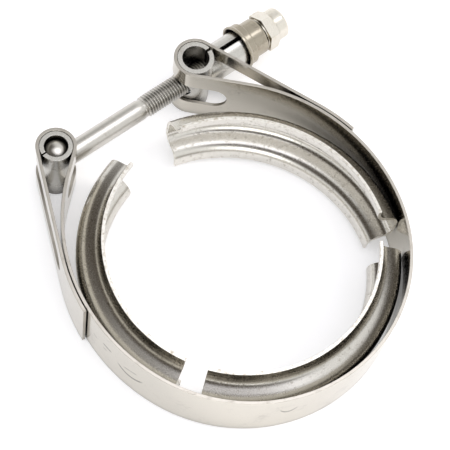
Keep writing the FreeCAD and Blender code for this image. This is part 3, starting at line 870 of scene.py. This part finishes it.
@dataclass
class Segment:
    """A V-section retainer segment: one pressed sheet with a web, two flanks and two lips.

    Attributes:
        node: The frame's node.
        web_radius: Outer radius of the web.
        span: Angle that the segment covers.
        middle: Angle of its middle.
        lean: How far its top leans outward at its middle.
        sheet: Thickness of its sheet.
        half_web: Half of the web's height.
        flank: Angle of the flanks from the level.
        depth: How far the section reaches inward from the web's outer face.
        half_height: Height of the lips' edges over the middle.
        bend: Radius of the bends in the sheet's middle line.
        edge: Radius of the cut edges.
    """

    node: str
    web_radius: float
    span: float
    middle: float
    lean: float = 0.0
    sheet: float = 1.2
    half_web: float = 5.0
    flank: float = 20.0
    depth: float = 9.2
    half_height: float = 12.1
    bend: float = 4.2
    edge: float = 0.14

    def section(self) -> np.ndarray:
        """Return the section's middle line as (radius, height), from the top lip to the bottom.

        The corners of the middle line lie half way between those of both faces.  Each is
        replaced by an arc of the bend radius that leaves the corner's two arms at
        bend * tan(turn / 2) from it.

        Returns:
            One row for each point.
        """
        slope = math.radians(self.flank)
        drop = self.sheet * math.tan(math.pi / 4 - slope / 2) / 2
        web = self.web_radius - self.sheet / 2
        lip = self.web_radius - self.depth + self.sheet / 2
        rise = (self.depth - self.sheet) * math.tan(slope)
        corner_lip = np.array([lip, self.half_web + rise - drop])
        corner_web = np.array([web, self.half_web - drop])
        upper = np.array([[lip, self.half_height], corner_lip, corner_web, [web, 0.0]])
        bends = [self.rounded(*upper[place - 1 : place + 2]) for place in (1, 2)]
        tip = np.linspace(upper[0], bends[0][0], 4)[:-1]
        flank = np.linspace(bends[0][-1], bends[1][0], 5)[1:-1]
        half = np.concatenate([tip, bends[0], flank, bends[1], [upper[3]]])
        return np.concatenate([half, half[-2::-1] * [1.0, -1.0]])

    def rounded(self, before: np.ndarray, corner: np.ndarray, after: np.ndarray) -> np.ndarray:
        """Return the arc that replaces a corner.

        Args:
            before: The point before the corner.
            corner: The corner.
            after: The point after the corner.

        Returns:
            Points on the arc, both ends included.
        """
        back = (before - corner) / np.linalg.norm(before - corner)
        ahead = (after - corner) / np.linalg.norm(after - corner)
        turn = math.pi - math.acos(float(np.clip(back @ ahead, -1, 1)))
        reach = self.bend * math.tan(turn / 2)
        middle = (back + ahead) / np.linalg.norm(back + ahead)
        centre = corner + middle * self.bend / math.cos(turn / 2)
        start = corner + back * reach - centre
        across = (corner + ahead * reach - centre) - start * math.cos(turn)
        across = across / math.sin(turn)
        angles = np.linspace(0, turn, BEND_ROWS)[:, None]
        return centre + start * np.cos(angles) + across * np.sin(angles)

    def build(self) -> bpy.types.Object:
        """Carry the section through the span: (r cos a, r sin a, z), then lean it.

        Returns:
            The segment's object.
        """
        section = self.section()
        turns = np.radians(
            np.linspace(self.middle - self.span / 2, self.middle + self.span / 2, SPAN_ROWS)
        )
        radius = section[:, 0][None, :]
        points = np.stack(
            [
                radius * np.cos(turns)[:, None],
                radius * np.sin(turns)[:, None],
                np.broadcast_to(section[:, 1], (len(turns), len(section))),
            ],
            axis=2,
        )
        steps = np.linalg.norm(np.diff(section, axis=0), axis=1)
        across = np.concatenate([[0.0], np.cumsum(steps)])
        run = np.broadcast_to((turns * self.web_radius)[:, None], points.shape[:2])
        uv = np.stack([run, np.broadcast_to(across, points.shape[:2])], axis=2)
        points = points.reshape(-1, 3)
        if self.lean:
            outward = np.append(unit(self.middle), 0.0)
            pivot = outward * self.web_radius
            angle = math.radians(self.lean)
            depth = (points - pivot) @ outward
            height = points[:, 2]
            moved = depth * math.cos(angle) + height * math.sin(angle) - depth
            lifted = height * math.cos(angle) - depth * math.sin(angle) - height
            points = points + moved[:, None] * outward + lifted[:, None] * np.array([0, 0, 1.0])
        faces = grid_faces(len(turns), len(section))
        made = mesh_object(
            self.node + "_sheet", points * MM, faces, uv.reshape(-1, 2) * MM, weld=False
        )
        thicken(made, self.sheet, self.edge)
        return made

    def dress(
        self, made: bpy.types.Object, finish: bpy.types.Material, cut: bpy.types.Material
    ) -> None:
        """Give the segment and its cut edges their finishes and let it stand for its node."""
        made.data.materials.append(finish)
        made.data.materials.append(cut)
        settle(made, self.node)
        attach(made, "band")
        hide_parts(self.node)


# ---------------------------------------------------------------------------- T-bolt


@dataclass
class TBolt:
    """The T-bolt: a cross bar with domed ends, a plain shank and a cut thread to its end.

    Attributes:
        head_radius: Radius of the cross bar.
        head_half: Half of the cross bar's length without its domes.
        dome_height: Height of a dome over its rim.
        rim_drop: How far under the dome's rim the bar's side begins.
        waist: Height of the last ring of points on each half of the bar's side.
        start: Where the shank begins inside the cross bar.
        shank_radius: Radius of the plain shank.
        major_radius: Radius of the thread's crests.
        core_radius: Radius of the thread's core.
        pitch: The thread's pitch.
        shank_end: Where the shank ends, from the cross bar's axis.
        runout: Length of the taper before the shank's end.
        taper: Length of the taper from there to the thread's core.
        shoulder: How much smaller than the shank its end is.
        length: Where the bolt ends.
        chamfer: Length of the chamfer at the end.
        point_drop: How much the chamfer takes off the core's radius.
        thread_stop: How far before the bolt's end the thread stops.
        fades: Turns over which the thread rises at its start and sinks at its end.
        sink: How far under the core's surface the thread's roots lie.
    """

    head_radius: float = 3.95
    head_half: float = 10.1
    dome_height: float = 1.6
    rim_drop: float = 0.15
    waist: float = 5.0
    start: float = 1.0
    shank_radius: float = 3.675
    major_radius: float = 3.97
    core_radius: float = 3.36
    pitch: float = 1.0583
    shank_end: float = 35.7
    runout: float = 0.6
    taper: float = 0.7
    shoulder: float = 0.12
    length: float = 97.2
    chamfer: float = 0.9
    point_drop: float = 0.35
    thread_stop: float = 0.5
    fades: tuple[float, float] = (1.3, 0.8)
    sink: float = 0.05

    def head(self) -> tuple[np.ndarray, np.ndarray]:
        """Turn the cross bar's outline about the barrel's axis.

        The dome belongs to a ball of radius R = (r^2 + h^2) / 2h whose middle lies R - h under
        its rim, so a point of it is (R sin q, z0 + R cos q); the bar's side follows, and the
        lower half mirrors the upper one.

        Returns:
            Points and faces.
        """
        ball = (self.head_radius**2 + self.dome_height**2) / (2 * self.dome_height)
        rise = self.head_half - ball + self.dome_height
        slope = np.linspace(0, 0.96 * math.asin(self.head_radius / ball), 14)
        crown = np.stack([ball * np.sin(slope), rise + ball * np.cos(slope)], axis=1)
        foot = self.head_half - self.rim_drop
        side = np.array([[self.head_radius, foot], [self.head_radius, self.waist]])
        upper = np.concatenate([crown, side])
        outline = np.concatenate([upper, upper[::-1] * [1.0, -1.0]])
        points = turned(outline[:, 0], outline[:, 1])[:, [1, 2, 0]]
        return points, grid_faces(len(outline), ROUND_STEPS, flip=True)

    def bar(self, start: int) -> tuple[np.ndarray, np.ndarray]:
        """Turn the shank's outline about the bolt's axis.

        The outline runs from inside the cross bar along the shank, down a step to the thread's
        core and to the chamfered end; a point is (x, r cos a, r sin a).

        Args:
            start: Number of the first point.

        Returns:
            Points and faces.
        """
        rings = 24
        along = np.linspace(self.start, self.shank_end - self.runout, rings)
        shank = np.stack([along, np.full(rings, self.shank_radius)], axis=1)
        tail = np.array(
            [
                [self.shank_end, self.shank_radius - self.shoulder],
                [self.shank_end + self.taper, self.core_radius],
                [self.length - self.chamfer, self.core_radius],
                [self.length, self.core_radius - self.point_drop],
                [self.length, 0.0],
            ]
        )
        outline = np.concatenate([[[self.start, 0.0]], shank, tail])
        points = turned(outline[:, 1], outline[:, 0])
        return points, grid_faces(len(outline), ROUND_STEPS, start, flip=True)

    def thread(self, start: int) -> tuple[np.ndarray, np.ndarray]:
        """Wind the thread's profile along a helix.

        A point is (x0 + pitch (t / 2 pi + q), r(q) cos t, r(q) sin t), where q crosses one pitch
        and r(q) is the truncated sixty-degree V.  Over the first and last turns r fades below
        the bar's surface.

        Args:
            start: Number of the first point.

        Returns:
            Points and faces.
        """
        per_turn = 40
        turns = (self.length - self.thread_stop - self.shank_end) / self.pitch - 1
        wind = np.linspace(0, turns, int(turns * per_turn))
        cross = np.array([0.0, 0.06, 0.24, 0.42, 0.50, 0.58, 0.76, 0.94, 1.0])
        crest = np.array([0.0, 0.0, 0.5, 0.97, 1.0, 0.97, 0.5, 0.0, 0.0])
        fade_in = np.clip(wind / self.fades[0], 0, 1)
        fade_out = np.clip((turns - wind) / self.fades[1], 0, 1)
        fade = (fade_in * fade_out)[:, None]
        low = self.core_radius - self.sink
        top = low + (self.major_radius - low) * crest[None, :]
        radius = (self.core_radius - 3 * self.sink) * (1 - fade) + top * fade
        turn = (wind * 2 * math.pi)[:, None]
        points = np.stack(
            [
                self.shank_end + self.pitch * (wind[:, None] + cross[None, :]),
                radius * np.cos(turn),
                radius * np.sin(turn),
            ],
            axis=2,
        )
        return points.reshape(-1, 3), grid_faces(len(wind), len(cross), start)

    def build(self) -> bpy.types.Object:
        """Build the bolt and return it."""
        head, head_faces = self.head()
        bar, bar_faces = self.bar(len(head))
        helix, helix_faces = self.thread(len(head) + len(bar))
        points = np.concatenate([head, bar, helix]) * MM
        faces = np.concatenate([head_faces, bar_faces, helix_faces])
        return mesh_object("t_bolt_bar", points, faces)

    def dress(self, made: bpy.types.Object, finish: bpy.types.Material) -> None:
        """Set the bolt on its node's axis, give it its finish and let it stand for the node."""
        low, high = (np.array(corner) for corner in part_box("t_bolt"))
        axis = (low + high) / 2
        shift = Vector((low[0] + self.head_radius * MM, axis[1], axis[2]))
        made.data.transform(Matrix.Translation(shift))
        made.data.update()
        made.data.materials.append(finish)
        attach(made, "t_bolt")
        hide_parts("t_bolt")


# ---------------------------------------------------------------------------- carried-over nodes


@dataclass
class CarriedNodes:
    """The pieces whose solids are shown as they are, each with its own finish."""

    finishes: dict[str, bpy.types.Material]

    def dress(self, frame: dict[str, object]) -> None:
        """Assign each node's finish to its material slots.
        """
        for node, finish in self.finishes.items():
            shown = frame["nodes"][node]
            for place in shown.material_slots:
                place.material = finish
            log.info("%s: kept as its solid", node)


# ---------------------------------------------------------------------------- studio


@dataclass(frozen=True)
class Lamp:
    """A flat soft lamp.

    Attributes:
        name: Its name.
        place: Its position in metres.
        size: Its width and height in metres.
        watts: Its power.
        tint: Its colour.
        mirrored: Whether the metal mirrors it.
    """

    name: str
    place: tuple[float, float, float]
    size: tuple[float, float]
    watts: float
    tint: str
    mirrored: bool


@dataclass
class Studio:
    """The floor, the white surround, the lamps and the camera.

    Attributes:
        floor_size: Side of the floor in metres.
        floor_tone: Colour of the floor.
        white: Colour of the surround.
        lighting: Strength with which the surround lights, where 1 is how it is seen.
        glow: Strength of the floor's own glow.
        glow_loss: How much weaker that glow is in the metal.
        dim_tone: Colour of the unlit band of the room.
        dim_axis: Direction that the band goes round.
        dim_heights: Lower and upper border of the band.
        open_side: Side on which the band is open.
        camera_at: The camera's place in metres.
        camera_right: Direction to the right of the camera.
        camera_up: Direction up from the camera.
        lens: Focal length in millimetres.
        sensor: Width of the sensor in millimetres.
        lamps: The lamps.
    """

    floor_size: float = 6.0
    floor_tone: str = "#e2e1e2"
    white: str = "#ffffff"
    lighting: float = 0.55
    glow: float = 0.42
    glow_loss: float = 0.10
    dim_tone: str = "#33260f"
    dim_axis: tuple[float, float, float] = (-0.10, 0.18, 0.98)
    dim_heights: tuple[float, float] = (0.57, 0.965)
    open_side: tuple[float, float, float] = (0.95, -0.10, 0.0)
    camera_at: tuple[float, float, float] = (-0.16387, -0.12597, 0.45180)
    camera_right: tuple[float, float, float] = (0.7779, -0.6200, 0.1024)
    camera_up: tuple[float, float, float] = (0.5327, 0.7371, 0.4159)
    lens: float = 119.13
    sensor: float = 36.0
    lamps: tuple[Lamp, ...] = (
        Lamp("key", (0.9, -0.6, 1.0), (0.5, 0.5), 7.5, "#fffaf2", False),
        Lamp("fill", (-0.9, 0.9, 1.1), (0.8, 0.8), 5.0, "#f2f6ff", False),
        Lamp("top_box", (0.12, -0.10, 1.08), (0.85, 0.75), 3.8, "#f8f8ff", True),
        Lamp("near_box", (-0.62, -0.74, 0.52), (0.80, 0.34), 2.0, "#ffffff", True),
    )

    def seen(self, tree: Tree) -> Socket:
        """Return 1 for camera, glossy and transmission rays and 0 for the others."""
        path = add_node(tree, "LightPath")
        both = maths(tree, "ADD", path.outputs["Is Camera Ray"], path.outputs["Is Glossy Ray"])
        return maths(tree, "ADD", both, path.outputs["Is Transmission Ray"], clamp=True)

    def dim_band(self, tree: Tree) -> Socket:
        """Return a 0..1 mask of the unlit band of the room between the surround and the top light.

        With d the direction looked in, the band lies where d . dim_axis is between its lower and
        upper borders, and it fades out towards the side that d . open_side grows to.
        """
        looked = add_node(tree, "TexCoord").outputs["Generated"]
        dot = {"operation": "DOT_PRODUCT"}
        height = add_node(tree, "VectorMath", dot, i0=looked, i1=self.dim_axis).outputs["Value"]
        low, high = self.dim_heights
        lower = ramp(tree, height, low - 0.07, low + 0.07)
        upper = ramp(tree, height, high + 0.02, high - 0.02)
        side = add_node(tree, "VectorMath", dot, i0=looked, i1=self.open_side)
        closed = ramp(tree, side.outputs["Value"], 0.34, 0.02)
        band = maths(tree, "MULTIPLY", lower, upper)
        return maths(tree, "MULTIPLY", band, maths(tree, "MULTIPLY_ADD", closed, 0.85, 0.12))

    def world(self) -> None:
        """White surround: full strength where it is seen, softer where it lights."""
        world = bpy.data.worlds.new("white_surround")
        world.use_nodes = True
        bpy.context.scene.world = world
        tree = world.node_tree
        tree.nodes.clear()
        strength = maths(
            tree, "MULTIPLY_ADD", self.seen(tree), 1.0 - self.lighting, self.lighting
        )
        mirrored = add_node(tree, "LightPath").outputs["Is Glossy Ray"]
        dim = maths(tree, "MULTIPLY", self.dim_band(tree), mirrored)
        tone = mix(tree, dim, srgb(self.white), srgb(self.dim_tone))
        shell = add_node(tree, "Background", Color=tone, Strength=strength)
        output = add_node(tree, "OutputWorld")
        tree.links.new(shell.outputs[0], output.inputs["Surface"])

    def floor_glow(self, tree: Tree) -> Socket:
        """Return the glow that takes the floor to the surround's white, less in the metal."""
        glossy = add_node(tree, "LightPath").outputs["Is Glossy Ray"]
        share = maths(tree, "MULTIPLY_ADD", glossy, -self.glow_loss, self.glow)
        return maths(tree, "MULTIPLY", self.seen(tree), share)

    def floor(self, height: float) -> None:
        """A pale floor that keeps the shadow and glows just enough to meet the surround.

        Args:
            height: Height of the floor in metres.
        """
        half = self.floor_size / 2
        corners = np.array([[-half, -half], [half, -half], [half, half], [-half, half]])
        points = np.column_stack([corners, np.full(4, height)])
        floor = mesh_object("floor", points, np.array([[0, 1, 2, 3]]), weld=False)
        material = bpy.data.materials.new("pale_floor")
        material.use_nodes = True
        tree = material.node_tree
        tree.nodes.clear()
        matte = add_node(tree, "BsdfDiffuse", Color=srgb(self.floor_tone))
        glow = add_node(
            tree,
            "Emission",
            Color=srgb(self.white),
            Strength=self.floor_glow(tree),
        )
        both = add_node(tree, "AddShader", i0=matte.outputs[0], i1=glow.outputs[0])
        output = add_node(tree, "OutputMaterial")
        tree.links.new(both.outputs[0], output.inputs["Surface"])
        floor.data.materials.append(material)
        floor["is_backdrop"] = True

    def lamp(self, lamp: Lamp) -> None:
        """A flat soft lamp that faces the clamp.

        Args:
            lamp: What the lamp is and where it stands.
        """
        data = bpy.data.lights.new(lamp.name, "AREA")
        data.shape = "RECTANGLE"
        data.size, data.size_y = lamp.size
        data.energy = lamp.watts
        data.color = srgb(lamp.tint)[:3]
        made = bpy.data.objects.new(lamp.name, data)
        made.location = lamp.place
        made.rotation_mode = "QUATERNION"
        made.rotation_quaternion = (-Vector(lamp.place)).to_track_quat("-Z", "Y")
        made.visible_glossy = lamp.mirrored
        bpy.context.scene.collection.objects.link(made)

    def camera(self) -> None:
        """The camera: its axes are the fitted right, up and backward directions."""
        right, rise = Vector(self.camera_right), Vector(self.camera_up)
        back = right.cross(rise)
        turn = Matrix((right, rise, back)).transposed().to_4x4()
        data = bpy.data.cameras.new("camera")
        data.lens = self.lens
        data.sensor_width = self.sensor
        data.clip_start, data.clip_end = 0.01, 20.0
        made = bpy.data.objects.new("camera", data)
        made.matrix_world = Matrix.Translation(Vector(self.camera_at)) @ turn
        bpy.context.scene.collection.objects.link(made)
        bpy.context.scene.camera = made

    def build(self, floor_height: float) -> None:
        """Set up the whole studio.

        Args:
            floor_height: Height of the floor in metres.
        """
        bpy.context.scene.view_settings.view_transform = "Standard"
        self.world()
        self.floor(floor_height)
        for lamp in self.lamps:
            self.lamp(lamp)
        self.camera()


def main() -> None:
    """Load the frame, build each piece in order and set up the studio."""
    logging.basicConfig(level=logging.INFO, format="%(name)s: %(message)s")
    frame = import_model()
    before = [list(corner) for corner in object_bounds()]
    shop = SteelShop()
    strap = Strap()
    segment_cut = shop.segment_edge.build()
    strap.dress(strap.build(), shop.strap.build(), shop.strap_edge.build())
    segment_finish = shop.segment.build()
    segments = (
        Segment("left_segment", 53.8, 103.2, 156.6),
        Segment("bottom_segment", 55.0, 105.0, 270.57),
        Segment("right_segment", 55.0, 101.7, 28.1, lean=6.0),
    )
    for segment in segments:
        segment.dress(segment.build(), segment_finish, segment_cut)
    bolt = TBolt()
    bolt.dress(bolt.build(), shop.bolt.build())
    barrel = shop.barrel.build()
    CarriedNodes(
        {
            "t_barrel": barrel,
            "trunnion_barrel": barrel,
            "spacer_sleeve": barrel,
            "sleeve_cup": shop.cup.build(),
            "lock_nut": shop.nut.build(),
        }
    ).dress(frame)
    Studio().build(before[0][2])


if __name__ == "__main__":
    main()
